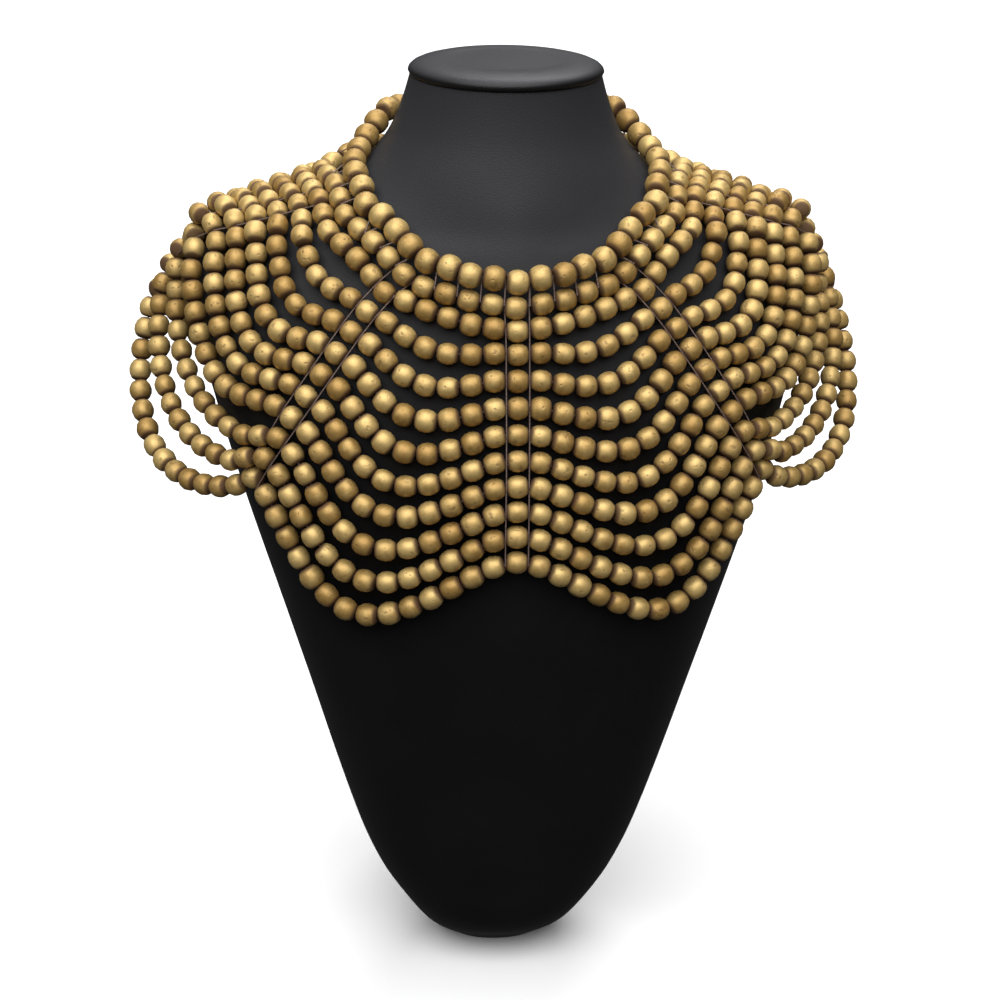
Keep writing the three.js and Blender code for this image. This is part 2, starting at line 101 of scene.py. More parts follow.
# Where the ladders cross some rows on the wearer's right: across, depth and height as shares of
# the shoulder's half width, the chest's depth and the bust's height
LADDER_ROWS = (1, 4, 7, 10, 12)
LADDERS = {
    "front_middle": [
        (0, -0.82, 0.815),
        (0, -0.91, 0.750),
        (0, -0.99, 0.670),
        (0, -1.03, 0.590),
        (0, -1.03, 0.535),
    ],
    "chest": [
        (-0.26, -0.71, 0.835),
        (-0.45, -0.71, 0.785),
        (-0.59, -0.73, 0.720),
        (-0.73, -0.69, 0.650),
        (-0.81, -0.58, 0.600),
    ],
    "shoulder": [
        (-0.45, -0.44, 0.880),
        (-0.65, -0.20, 0.870),
        (-0.85, -0.10, 0.850),
        (-1.02, 0.24, 0.805),
        (-1.11, 0.50, 0.745),
    ],
    "back": [
        (-0.38, 0.28, 0.955),
        (-0.55, 0.50, 0.855),
        (-0.65, 0.66, 0.785),
        (-0.71, 0.74, 0.710),
        (-0.74, 0.75, 0.655),
    ],
    "back_edge": [
        (-0.09, 0.60, 0.950),
        (-0.09, 0.70, 0.870),
        (-0.09, 0.76, 0.790),
        (-0.09, 0.80, 0.710),
        (-0.09, 0.80, 0.655),
    ],
}
LADDER_NAMES = tuple(LADDERS)
STRETCHES = (
    {"sag": (-0.30, 0, -0.95), "closeness": 1, "hidden": False},
    {"sag": (-0.45, 0.10, -0.89), "loose_sag": (-0.55, 0, -0.85), "loose_sag_end": (-0.70, 0.25, -0.70),
     "closeness": 0.965, "hidden": False},
    {"sag": (-0.35, 0.35, -0.87), "closeness": 1, "hidden": True},
    {"sag": (-0.10, 0.20, -0.96), "closeness": 1, "hidden": True},
)

# How far out of the strings the ladders' threads and the neck row's ties lie
LADDER_LIFT = 0.35               # as shares of a bead's radius
NECK_TIE_LIFT = 0.45
NECK_TIE_BULGE = 0.0004
FLAT_LADDER_ROWS = 2             # in these rows the ladders' threads go through the string itself
STRING_OVER_THREAD = 1.5         # the string inside the beads is thicker than the threads
THREAD_FACETS = 1

# How the strings are hung and the net is settled
PROBE = 0.0005                   # step over which the bust's slope is felt
LAY_ROUNDS = 5
STRING_SAMPLES = 48
DEEPEST_SAG = 0.09
HALVING_ROUNDS = 16
SAG_PEAK = 1.6                   # how narrow the deepest stretch of a sag is
LOOSE_SAG_PEAK = 0.75
SETTLE_ROUNDS = 120
SETTLE_EAGERNESS = 1.3
LADDER_HOLD = 0.05               # how strongly a ladder's beads are drawn home
BEAD_SQUEEZE = 0.00015           # how far two painted beads may press into each other
NECK_ROW_STAND_OFF = 0.0006

# The torso's cover
RIM_BEVEL = 0.0012
RIM_BEVEL_STEPS = 3
LEVEL_DIGITS = 4                 # decimals to which a height counts as a rim's
LEVEL_SLACK = 1e-6
AXIS_REACH = 0.005               # edges nearer the axis than this aren't a rim
MERGE_DISTANCE = 1e-6
PAINTED_LIGHT_START = 0.27                # height where the painted light begins on the torso: above it the cover is drawn lighter

# The stuffed pad hangs a little over the neck's edge and swells a little above its board
CAP_SIDES = 96
CAP_DROP = 0.0012
CAP_CROWN = 0.0010

# Profile of the cap's pad from its underside up: how far in from the widest place, in metres,
# and how high as a share of its thickness
CAP_PROFILE = (
    (0.0042, 0.00), (0.0020, 0.04), (0.0006, 0.16), (0.0, 0.34), (0.0004, 0.50), (0.0016, 0.66),
    (0.0036, 0.79), (0.0064, 0.89), (0.0100, 0.96), (0.0140, 1.0), (0.0165, 0.97), (0.0190, 0.95),
    (0.0230, 0.965), (0.0300, 0.99), (0.0370, 0.995),
)

# Facets and shape of the turned beads
BEAD_SIDES = 14
ROW_BEAD_RINGS = 8
NECK_BEAD_RINGS = 10
BEAD_FLAT = 0.82                 # how far from its middle a bead of radius 1 is cut flat
BEAD_FLAT_DRAWN_IN = 0.92        # the cut end is worn a little round
BEAD_REACH = (0.92, 0.96)        # a bead's length over its share of the string
BEAD_GIRTH = 0.985               # real beads come out a little under their nominal size
ROW_GIRTHS = {4: 0.97, 5: 0.97, 6: 1.03, 8: 0.975, 9: 1.02, 10: 0.98, 12: 1.03}
END_FACING = 0.99                # a face that looks along the hole this squarely is an end
SEED = 7

# Rounded edges of the small parts
STRUT_BEVEL = 0.0015
CLASP_BEVEL_SHARE = 0.06         # of the barrel's thickness

# The stage
FLOOR_SIZE = 24
SENSOR_WIDTH = 36
KEY_WIDTH = math.radians(76)
KEY_DIRECTION = (0.12, 0.55, -1)
REAR_WIDTH = math.radians(40)
REAR_DIRECTION = (-0.2, -0.7, -1)


def row_radius(row):
    return (NECK_BEAD_DIAMETER if row == 1 else BEAD_DIAMETER) / 2


def row_pitch(row):
    if row == 1:
        return NECK_BEAD_PITCH
    return BEAD_PITCH * (1 + LOW_ROW_GROWTH * max(0, row + 1 - FIRST_LOOSE_ROW))


def seat_height(row, y):
    """How high over the bust the middle of a bead of this row lies, at a given depth."""
    in_front = np.maximum(0, -y / CHEST_DEPTH)
    return row_radius(row) + BEAD_SEAT + ROW_RISE.get(row, 0) * in_front


def section_slopes():
    heights = BUST_SECTIONS[:, 0]
    rises = np.diff(BUST_SECTIONS, axis=0) / np.diff(heights)[:, None]
    middle = (rises[:-1] + rises[1:]) / 2
    return np.concatenate([rises[:1], middle, rises[-1:]])


SLOPES = section_slopes()


def bust_section(z):
    """Width, front, back, power and ridge of the bust at each height, smooth from row to row."""
    heights = BUST_SECTIONS[:, 0]
    height = np.clip(z / BUST_HEIGHT, 0, 1)
    index = np.clip(np.searchsorted(heights, height, side="left") - 1, 0, len(heights) - 2)
    low, high = BUST_SECTIONS[index], BUST_SECTIONS[index + 1]
    span = (heights[index + 1] - heights[index])[:, None]
    t = (height[:, None] - heights[index][:, None]) / span
    value = (
        (2 * t**3 - 3 * t**2 + 1) * low
        + (t**3 - 2 * t**2 + t) * span * SLOPES[index]
        + (3 * t**2 - 2 * t**3) * high
        + (t**3 - t**2) * span * SLOPES[index + 1]
    )
    return (value * COLUMN_SCALE).T[1:]


def bust_level(points):
    width, front, back, power, ridge = bust_section(points[:, 2])
    depth = np.where(points[:, 1] < ridge, front, back)
    across = (np.abs(points[:, 0]) / width) ** power
    along = (np.abs(points[:, 1] - ridge) / depth) ** power
    return (across + along) ** (1 / power) - 1


def outside_bust(points):
    """How far each point lies outside the bust, and the way out."""
    steps = PROBE * np.eye(3)
    way = np.stack([bust_level(points + s) - bust_level(points - s) for s in steps], -1) / (2 * PROBE)
    steepness = np.linalg.norm(way, axis=1)
    return bust_level(points) / steepness, way / steepness[:, None]


def lay_on_bust(points, row, clings):
    points = points.copy()
    for _ in range(LAY_ROUNDS):
        distance, way = outside_bust(points)
        error = distance - seat_height(row, points[:, 1])
        moved = error if clings else np.minimum(error, 0)
        points -= way * moved[:, None]
    return points


def ladder_bead(ladder, row):
    """The bead of a row that sits on a ladder."""
    point = np.zeros(3)
    for index, shares in enumerate(LADDERS[LADDER_NAMES[ladder]]):
        weight = 1.0
        for other, other_row in enumerate(LADDER_ROWS):
            if other != index:
                weight *= (row - other_row) / (LADDER_ROWS[index] - other_row)
        point += weight * np.array(shares) * (SHOULDER_HALF_WIDTH, CHEST_DEPTH, BUST_HEIGHT)
    loose = LADDER_NAMES[ladder] == "shoulder" and row >= FIRST_LOOSE_ROW
    return lay_on_bust(point[None], row, not loose)[0]


def line_length(points):
    return np.linalg.norm(np.diff(points, axis=0), axis=1).sum()


def spread(points, steps):
    """Points at equal steps along a line."""
    reach = np.concatenate([[0], np.cumsum(np.linalg.norm(np.diff(points, axis=0), axis=1))])
    wanted = np.linspace(0, reach[-1], steps + 1)
    return np.stack([np.interp(wanted, reach, points[:, axis]) for axis in range(3)], -1)


def hang_string(stretch, row):
    """One string between two ladders, which sags until it is as long as its beads together."""
    facts = STRETCHES[stretch]
    start, end = ladder_bead(stretch, row), ladder_bead(stretch + 1, row)
    from_shoulder = "shoulder" in LADDER_NAMES[stretch:stretch + 2]
    loose = row >= FIRST_LOOSE_ROW and from_shoulder
    first_pull = last_pull = np.array(facts["sag"], float)
    if loose:
        first_pull = np.array(facts.get("loose_sag", facts["sag"]), float)
        last_pull = np.array(facts.get("loose_sag_end", facts["sag"]), float)
    t = np.linspace(0, 1, STRING_SAMPLES + 1)
    pull = first_pull + (last_pull - first_pull) * t[:, None]
    pull /= np.linalg.norm(pull, axis=1)[:, None]
    base = start + (end - start) * t[:, None]
    if loose:
        ways = pull
    else:
        base = lay_on_bust(base, row, True)
        out = outside_bust(base)[1]
        ways = pull - out * (out * pull).sum(1)[:, None]
        ways /= np.linalg.norm(ways, axis=1)[:, None]
    swell = np.clip(np.sin(np.pi * t), 0, 1) ** (LOOSE_SAG_PEAK if loose else SAG_PEAK)

    def sagged(sag):
        line = lay_on_bust(base + ways * (sag * swell)[:, None], row, not loose)
        line[0], line[-1] = start, end
        return line

    straight = line_length(sagged(0))
    if facts["hidden"]:
        wanted = straight * (NECK_BACK_SLACK if row == 1 else BACK_SLACK)
        pitches = round(wanted / row_pitch(row))
    else:
        pitches = FIRST_ROW_PITCHES + row - 1
        wanted = pitches * row_pitch(row) * facts["closeness"]
    low, high = 0.0, DEEPEST_SAG if straight < wanted else 0.0
    for _ in range(HALVING_ROUNDS):
        middle = (low + high) / 2
        if line_length(sagged(middle)) < wanted:
            low = middle
        else:
            high = middle
    return spread(sagged((low + high) / 2), pitches), wanted / pitches


def hang_net():
    """All beads of one side, row by row from the front's middle to the back opening."""
    net = {"points": [], "rows": [], "ladders": [], "links": [], "pitches": []}
    for row in range(1, ROW_COUNT + 1):
        for stretch in range(len(STRETCHES)):
            string, pitch = hang_string(stretch, row)
            for index, point in enumerate(string):
                if stretch > 0 and index == 0:
                    continue
                if stretch > 0 or index > 0:
                    net["links"].append(len(net["points"]))
                    net["pitches"].append(pitch)
                ladder = {0: stretch, len(string) - 1: stretch + 1}.get(index, -1)
                net["points"].append(point)
                net["rows"].append(row)
                net["ladders"].append(ladder)
    return {key: np.array(values) for key, values in net.items()}


def settle_net(net):
    """Keeps the beads' pitch, and pushes them clear of each other and of the bust."""
    points, rows, links, pitches = net["points"], net["rows"], net["links"], net["pitches"]
    home = points.copy()
    radii = np.where(rows == 1, NECK_BEAD_DIAMETER, BEAD_DIAMETER) / 2
    need = radii[:, None] + radii[None] - BEAD_SQUEEZE
    need = need + NECK_ROW_STAND_OFF * ((rows[:, None] == 1) & (rows[None] == 2))
    need = need + NECK_ROW_STAND_OFF * ((rows[:, None] == 2) & (rows[None] == 1))
    need[links, links - 1] = 0
    need[links - 1, links] = 0
    np.fill_diagonal(need, 0)
    on_ladder = net["ladders"] >= 0
    seats = np.vectorize(seat_height)
    for _ in range(SETTLE_ROUNDS):
        total = np.zeros_like(points)
        count = np.zeros(len(points))
        step = points[links] - points[links - 1]
        length = np.linalg.norm(step, axis=1)
        correction = step / length[:, None] * ((length - pitches) / 2)[:, None]
        np.add.at(total, links - 1, correction)
        np.add.at(total, links, -correction)
        np.add.at(count, links - 1, 1)
        np.add.at(count, links, 1)
        apart = points[:, None] - points[None]
        distance = np.linalg.norm(apart, axis=2)
        first, second = np.nonzero(distance < need)
        overlap = (need - distance)[first, second]
        push = apart[first, second] / distance[first, second][:, None] * (overlap / 2)[:, None]
        np.add.at(total, first, push)
        np.add.at(count, first, 1)
        points = points + total * (SETTLE_EAGERNESS / np.maximum(count, 1))[:, None]
        points[on_ladder] += (home[on_ladder] - points[on_ladder]) * LADDER_HOLD
        points[home[:, 0] == 0, 0] = 0
        distance, way = outside_bust(points)
        sunk = seats(rows, points[:, 1]) - distance
        points = points + way * np.maximum(sunk, 0)[:, None]
    return points


def whole_row(net, row):
    """A row's bead centres from one back edge round the front to the other, and its ladders."""
    chosen = net["rows"] == row
    half, ladders = net["points"][chosen], net["ladders"][chosen]
    other = half[1:] * (-1, 1, 1)
    signs = np.concatenate([np.full(len(half), -1), np.full(len(other), 1)])
    return np.concatenate([half[::-1], other]), np.concatenate([ladders[::-1], ladders[1:]]), signs


NET = hang_net()
NET["points"] = settle_net(NET)
ROWS = {row: whole_row(NET, row) for row in range(1, ROW_COUNT + 1)}


# Small helpers of the modelling


def pick_only(piece):
    bpy.ops.object.select_all(action="DESELECT")
    piece.select_set(True)
    bpy.context.view_layer.objects.active = piece


def new_piece(name, vertices, faces):
    mesh = bpy.data.meshes.new(name)
    mesh.from_pydata([tuple(v) for v in vertices], [], [tuple(f) for f in faces])
    piece = bpy.data.objects.new(name, mesh)
    bpy.context.scene.collection.objects.link(piece)
    return piece


def edit_selected(piece, *steps):
    """Runs edit mode steps on what is selected on one piece."""
    pick_only(piece)
    bpy.ops.object.mode_set(mode="EDIT")
    for step in steps:
        step()
    bpy.ops.object.mode_set(mode="OBJECT")


def edit(piece, *steps):
    """Runs edit mode steps on the whole of one piece."""
    edit_selected(piece, lambda: bpy.ops.mesh.select_all(action="SELECT"), *steps)


def select_by(piece, kind, test):
    """In object mode, selects only the faces or edges that pass a test, for the next edit."""
    pick_only(piece)
    bpy.ops.object.mode_set(mode="EDIT")
    bpy.ops.mesh.select_mode(type="FACE" if kind == "faces" else "EDGE")
    bpy.ops.mesh.select_all(action="DESELECT")
    bpy.ops.object.mode_set(mode="OBJECT")
    for item in getattr(piece.data, "polygons" if kind == "faces" else "edges"):
        item.select = test(item)


def finish_modifier(piece, kind, **settings):
    modifier = piece.modifiers.new(kind.title(), kind)
    for key, value in settings.items():
        setattr(modifier, key, value)
    pick_only(piece)
    bpy.ops.object.modifier_apply(modifier=modifier.name)


def smooth(piece, degrees):
    """Smooth shading over edges that turn by less than an angle."""
    pick_only(piece)
    bpy.ops.object.shade_smooth_by_angle(angle=math.radians(degrees))


def copy_of_node(node, name):
    """A CAD node's mesh as a new piece, with its loose triangles merged."""
    piece = bpy.data.objects.new(name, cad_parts[node].data.copy())
    piece.data.materials.clear()
    bpy.context.scene.collection.objects.link(piece)
    edit(
        piece,
        bpy.ops.mesh.customdata_custom_splitnormals_clear,
        lambda: bpy.ops.mesh.remove_doubles(threshold=MERGE_DISTANCE),
        lambda: bpy.ops.mesh.tris_convert_to_quads(face_threshold=math.radians(30),
                                                   shape_threshold=math.radians(60)),
    )
    return piece


def hand_over(piece, slot, material, *nodes):
    """Gives a piece its material, hangs it on the root, and hides the CAD nodes that it stands in for."""
    piece.data.materials.clear()
    piece.data.materials.append(material)
    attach(piece, "root")
    if nodes:
        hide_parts(*nodes)


# Shader maths


class Wire:
    """A shader socket that Python's operators work on."""

    def __init__(self, finish, socket):
        self.finish = finish
        self.socket = socket

    def maths(self, operation, *values):
        settings = {"operation": operation}
        return self.finish.node("ShaderNodeMath", settings, dict(enumerate(values)))

    def __add__(self, other):
        return self.maths("ADD", self, other)

    def __radd__(self, other):
        return self.maths("ADD", other, self)

    def __sub__(self, other):
        return self.maths("SUBTRACT", self, other)

    def __rsub__(self, other):
        return self.maths("SUBTRACT", other, self)

    def __mul__(self, other):
        return self.maths("MULTIPLY", self, other)

    def __rmul__(self, other):
        return self.maths("MULTIPLY", other, self)


class Finish:
    """One material, built node by node."""

    def __init__(self, name):
        self.material = bpy.data.materials.new(name)
        self.material.use_nodes = True
        self.tree = self.material.node_tree
        self.shader = self.tree.nodes["Principled BSDF"]

    def put(self, socket, value):
        if isinstance(value, Wire):
            self.tree.links.new(value.socket, socket)
        else:
            socket.default_value = value

    def node(self, kind, settings, inputs, output=0):
        node = self.tree.nodes.new(kind)
        for key, value in settings.items():
            setattr(node, key, value)
        for key, value in inputs.items():
            self.put(node.inputs[key], value)
        return Wire(self, node.outputs[output])

    def position(self):
        return self.node("ShaderNodeTexCoord", {}, {}, "Object")

    def upright(self, vector):
        return self.node("ShaderNodeSeparateXYZ", {}, {"Vector": vector}, "Z")

    def noise(self, scale, detail, roughness):
        inputs = {"Vector": self.position(), "Scale": scale, "Detail": detail, "Roughness": roughness}
        return self.node("ShaderNodeTexNoise", {}, inputs)

    def cells(self, scale):
        inputs = {"Vector": self.position(), "Scale": scale}
        return self.node("ShaderNodeTexVoronoi", {"feature": "DISTANCE_TO_EDGE"}, inputs, "Distance")

    def attribute(self, name):
        return self.node("ShaderNodeAttribute", {"attribute_name": name}, {}, "Fac")

    def between(self, value, low, high):
        """0 below the low value, 1 above the high one, and a soft rise between them."""
        inputs = {"Value": value, "From Min": low, "From Max": high}
        return self.node("ShaderNodeMapRange", {"interpolation_type": "SMOOTHSTEP"}, inputs)

    def blend(self, share, first, second):
        settings = {"data_type": "RGBA", "blend_type": "MIX"}
        return self.node("ShaderNodeMix", settings, {0: share, 6: first, 7: second}, 2)

    def relief(self, height, strength, distance):
        inputs = {"Height": height, "Strength": strength, "Distance": distance}
        return self.node("ShaderNodeBump", {}, inputs)

    def surface(self, **sockets):
        names = {name.lower().replace(" ", "_"): name for name in self.shader.inputs.keys()}
        for name, value in sockets.items():
            self.put(self.shader.inputs[names[name]], value)
        return self.material


def rgba(colour):
    return (*colour[:3], 1.0)


def gold_paint(settings):
    """Powdery gold paint on wood: soft sheen, small dents and specks, and a dark brown band towards each hole
    that is partly bare wood and partly painted shade between neighbouring beads.
    """
    finish = Finish("gold_paint")
    tint = finish.attribute("bead_tint")
    end = finish.attribute("bead_end")
    clouds = finish.noise(scale=230, detail=3, roughness=0.6)
    flakes = finish.noise(scale=2300, detail=2, roughness=0.6)
    dents = finish.noise(scale=380, detail=1, roughness=0.4)
    lightness = finish.between(tint * 0.45 + clouds * 0.75, 0.3, 0.9)
    base = finish.blend(lightness, rgba(settings.shade_colour), rgba(settings.gold_colour))
    dent = finish.between(dents, 0.66, 0.74)
    specks = finish.between(flakes, 0.66, 0.8)
    worn = finish.blend(dent * 0.35 + specks * 0.25, base, rgba(settings.wood_and_shade_colour))
    # Partly bare wood round the holes, partly painted shade: the band reaches well in from each end and
    # darkens the gaps between neighbouring beads
    rim = finish.between(end + clouds * 0.25, 0.74, 1.08)
    colour = finish.blend(rim * 0.9, worn, rgba(settings.wood_and_shade_colour))
    height = flakes * 0.25 + clouds * 1.5 - dent * 1.2
    return finish.surface(base_color=colour, metallic=0.5 - rim * 0.35 - dent * 0.1,
                          roughness=0.44 + clouds * 0.16 + rim * 0.25,
                          normal=finish.relief(height, strength=0.3, distance=0.0005))


def leatherette(settings, name, gloss, rough, painted_light_start=None):
    """Black leatherette: fine pebbled grain, soft uneven sheen, painted light and a faint random mottle.

    The painted light makes the cover lighter from a height up, or without one on all that faces up, as light
    from above would.
    """
    finish = Finish(name)
    pebbles = finish.cells(settings.grain_per_metre)
    fine = finish.noise(scale=2600, detail=2, roughness=0.5)
    clouds = finish.noise(scale=22, detail=3, roughness=0.5)
    # Painted light: the lighter tone goes on the cover above a height or on faces turned up, standing in for
    # overhead light
    if painted_light_start is None:
        facing = finish.node("ShaderNodeNewGeometry", {}, {}, "Normal")
        painted_light = finish.between(finish.upright(facing), 0.35, 1.0)
    else:
        height = finish.upright(finish.position())
        painted_light = finish.between(height + clouds * 0.05, painted_light_start, painted_light_start + settings.painted_light_rise)
    # The painted light, plus a faint random mottle in the cover's tone
    painted_light_and_mottle = painted_light * 0.9 + finish.between(clouds, 0.3, 0.7) * 0.06
    colour = finish.blend(painted_light_and_mottle, rgba(settings.leather_colour), rgba(settings.leather_painted_light_colour))
    grain = finish.between(pebbles, 0.0, 0.35) + fine * 0.4
    return finish.surface(base_color=colour, roughness=rough + clouds * 0.12, specular_ior_level=gloss,
                          normal=finish.relief(grain, strength=0.2, distance=0.0002))


def brown_thread(settings):
    """Waxed brown thread with a twist that shows as small light and dark turns."""
    finish = Finish("brown_thread")
    twist = finish.noise(scale=1800, detail=1, roughness=0.4)
    turns = finish.between(twist, 0.35, 0.65)
    colour = finish.blend(turns, rgba(settings.thread_dark_colour), rgba(settings.thread_colour))
    return finish.surface(base_color=colour, roughness=0.6 + twist * 0.1,
                          normal=finish.relief(twist, strength=0.4, distance=0.0003))


def satin_brass(settings):
    """Brushed brass of the clasp, a little dull in random patches."""
    finish = Finish("satin_brass")
    wear = finish.noise(scale=600, detail=4, roughness=0.6)
    bright = finish.between(wear, 0.35, 0.7)
    colour = finish.blend(bright, rgba(settings.brass_shade_colour), rgba(settings.brass_colour))
    return finish.surface(base_color=colour, metallic=0.95, roughness=0.28 + wear * 0.2,
                          normal=finish.relief(wear, strength=0.1, distance=0.0002))


def studio_floor(colour):
    """Pale matt paper with a hardly seen mottle."""
    finish = Finish("studio_floor")
    mottle = finish.noise(scale=3, detail=2, roughness=0.5)
    shade = finish.blend(mottle, rgba(colour), rgba([0.98 * c for c in colour]))
    return finish.surface(base_color=shade, roughness=0.75 + mottle * 0.05)


# Settings that a user would change


class BeadSettings(bpy.types.PropertyGroup):
    size_spread: bpy.props.FloatProperty(
        name="Size spread", description="How much the beads differ in size", default=0.022, min=0, max=0.1)
    oval_spread: bpy.props.FloatProperty(
        name="Oval spread", description="How far the beads are from round", default=0.012, min=0, max=0.1)
    tilt_spread: bpy.props.FloatProperty(
        name="Tilt spread", description="How far a bead leans off its string",
        default=math.radians(3.5), subtype="ANGLE", unit="ROTATION")
    gold_colour: bpy.props.FloatVectorProperty(
        name="Gold", description="Light tone of the gold paint", default=(0.58, 0.41, 0.155),
        subtype="COLOR")
    shade_colour: bpy.props.FloatVectorProperty(
        name="Gold shade", description="Dark tone of the gold paint", default=(0.33, 0.195, 0.052),
        subtype="COLOR")
    # The dark brown of bare wood, also used as the painted shade between neighbouring beads
    wood_and_shade_colour: bpy.props.FloatVectorProperty(
        name="Wood", description="Bare wood round the holes", default=(0.06, 0.022, 0.008),
        subtype="COLOR")


class BustSettings(bpy.types.PropertyGroup):
    leather_colour: bpy.props.FloatVectorProperty(
        name="Leatherette", description="Main tone of the cover", default=(0.005, 0.005, 0.0055),
        subtype="COLOR")
    # Painted light: the lighter tone of the neck, the upper torso and the cap's top, drawn in place of
    # overhead light
    leather_painted_light_colour: bpy.props.FloatVectorProperty(
        name="Lit leatherette", description="Tone of the cover where dust settles",
        default=(0.031, 0.031, 0.034), subtype="COLOR")
    # Height over which the torso's painted light fades in
    painted_light_rise: bpy.props.FloatProperty(
        name="Lightening rise", description="Height over which the dust sets in", default=0.12, unit="LENGTH")
    rim_roll: bpy.props.FloatProperty(
        name="Rim roll", description="How far the turned edge of the cover stands out", default=0.0003,
        unit="LENGTH")
    skin_gloss: bpy.props.FloatProperty(
        name="Skin gloss", description="Specular level of the torso's cover", default=0.12, min=0, max=1)
    cap_gloss: bpy.props.FloatProperty(
        name="Cap gloss", description="Specular level of the cap's cover", default=0.22, min=0, max=1)
    skin_roughness: bpy.props.FloatProperty(
        name="Skin roughness", description="Least roughness of the torso's cover", default=0.42, min=0, max=1)
    cap_roughness: bpy.props.FloatProperty(
        name="Cap roughness", description="Least roughness of the cap's cover", default=0.38, min=0, max=1)
    grain_per_metre: bpy.props.FloatProperty(
        name="Grain", description="Grains of the cover in a metre", default=900, min=100)


class ThreadSettings(bpy.types.PropertyGroup):
    diameter: bpy.props.FloatProperty(
        name="Thread", description="Thickness of the threads", default=0.00058, unit="LENGTH")
    thread_colour: bpy.props.FloatVectorProperty(
        name="Thread colour", description="Light tone of the threads", default=(0.20, 0.14, 0.12),
        subtype="COLOR")
    thread_dark_colour: bpy.props.FloatVectorProperty(
        name="Thread shade", description="Dark tone of the threads", default=(0.10, 0.065, 0.055),
        subtype="COLOR")
    brass_colour: bpy.props.FloatVectorProperty(
        name="Brass", description="Metal of the clasp", default=(0.62, 0.44, 0.16), subtype="COLOR")
    brass_shade_colour: bpy.props.FloatVectorProperty(
        name="Brass shade", description="Metal in the clasp's hollows", default=(0.36, 0.23, 0.07),
        subtype="COLOR")


class StageSettings(bpy.types.PropertyGroup):
    camera_distance: bpy.props.FloatProperty(
        name="Camera distance", description="From the lens to the bust's middle", default=1.2, unit="LENGTH")
    camera_height: bpy.props.FloatProperty(
        name="Aim height", description="Height that the camera looks at", default=0.224, unit="LENGTH")
    camera_turn: bpy.props.FloatProperty(
        name="Camera turn", description="Turn round the bust, to its right", default=math.radians(-5),
        subtype="ANGLE", unit="ROTATION")
    camera_pitch: bpy.props.FloatProperty(
        name="Camera pitch", description="Angle at which the camera looks down", default=math.radians(20.6),
        subtype="ANGLE", unit="ROTATION")
    camera_roll: bpy.props.FloatProperty(
        name="Camera roll", description="Lean of the camera to its side", default=math.radians(0.8),
        subtype="ANGLE", unit="ROTATION")
    lens: bpy.props.FloatProperty(name="Lens", description="Focal length in millimetres", default=92.34)
    floor_colour: bpy.props.FloatVectorProperty(
        name="Floor", description="Colour of the floor", default=(0.78, 0.78, 0.78), subtype="COLOR")
    key_strength: bpy.props.FloatProperty(
        name="Key light", description="Strength of the soft light overhead", default=5.0, min=0)
    rear_strength: bpy.props.FloatProperty(
        name="Rear light", description="Strength of the soft light behind", default=1.7, min=0)
    room_strength: bpy.props.FloatProperty(
        name="Room light", description="Strength of the even light all round", default=0.10, min=0)


# The bust


class NECKLACE_OT_bust_body(bpy.types.Operator):
    """Cover the torso and neck with leatherette"""

    bl_idname = "necklace.bust_body"
    bl_label = "Bust"

    def execute(self, context):
        settings = context.scene.necklace_bust
        bust = copy_of_node("bust_body", "bust_skin")

        def on_rim(edge):
            a, b = (bust.data.vertices[i].co for i in edge.vertices)
            at_end = round(a.z, LEVEL_DIGITS) in (0, BUST_HEIGHT)
            level = at_end and abs(a.z - b.z) < LEVEL_SLACK
            return level and min(a.xy.length, b.xy.length) > AXIS_REACH

        select_by(bust, "edges", on_rim)
        edit_selected(
            bust,
            lambda: bpy.ops.mesh.bevel(offset=RIM_BEVEL, segments=RIM_BEVEL_STEPS),
            lambda: bpy.ops.transform.shrink_fatten(value=settings.rim_roll),
        )
        finish_modifier(bust, "SUBSURF", levels=2, render_levels=2)
        smooth(bust, 60)
        # The torso is painted lighter towards the neck, standing in for overhead light
        cover = leatherette(settings, "black_leatherette", settings.skin_gloss,
                            settings.skin_roughness, PAINTED_LIGHT_START)
        hand_over(bust, "leatherette", cover, "bust_body")
        return {"FINISHED"}


class NECKLACE_OT_bust_cap(bpy.types.Operator):
    """Close the neck with a padded disc"""

    bl_idname = "necklace.bust_cap"
    bl_label = "Cap"

    def execute(self, context):
        settings = context.scene.necklace_bust
        low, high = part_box("bust_cap")
        radius, thickness = high.x, high.z - low.z + CAP_DROP + CAP_CROWN
        bpy.ops.object.select_all(action="DESELECT")
        first_in, last_height = CAP_PROFILE[0]
        last_radius = radius - first_in
        bpy.ops.mesh.primitive_circle_add(vertices=CAP_SIDES, radius=last_radius, fill_type="NGON",
                                          location=(0, 0, low.z - CAP_DROP))
        cap = bpy.context.object
        cap.name = "bust_cap_pad"
        bpy.ops.object.transform_apply(location=True, rotation=True, scale=True)
        bpy.ops.object.mode_set(mode="EDIT")
        for inwards, height in CAP_PROFILE[1:]:
            rise = (height - last_height) * thickness
            bpy.ops.mesh.extrude_region_move(TRANSFORM_OT_translate={"value": (0, 0, rise)})
            growth = (radius - inwards) / last_radius
            bpy.ops.transform.resize(value=(growth, growth, 1))
            last_radius, last_height = radius - inwards, height
        bpy.ops.object.mode_set(mode="OBJECT")
        edit(cap, lambda: bpy.ops.mesh.normals_make_consistent(inside=False))
        smooth(cap, 50)
        # The cap is painted lighter where it faces up, standing in for overhead light
        cover = leatherette(settings, "cap_leatherette", settings.cap_gloss, settings.cap_roughness)
        hand_over(cap, "leatherette", cover, "bust_cap")
        return {"FINISHED"}


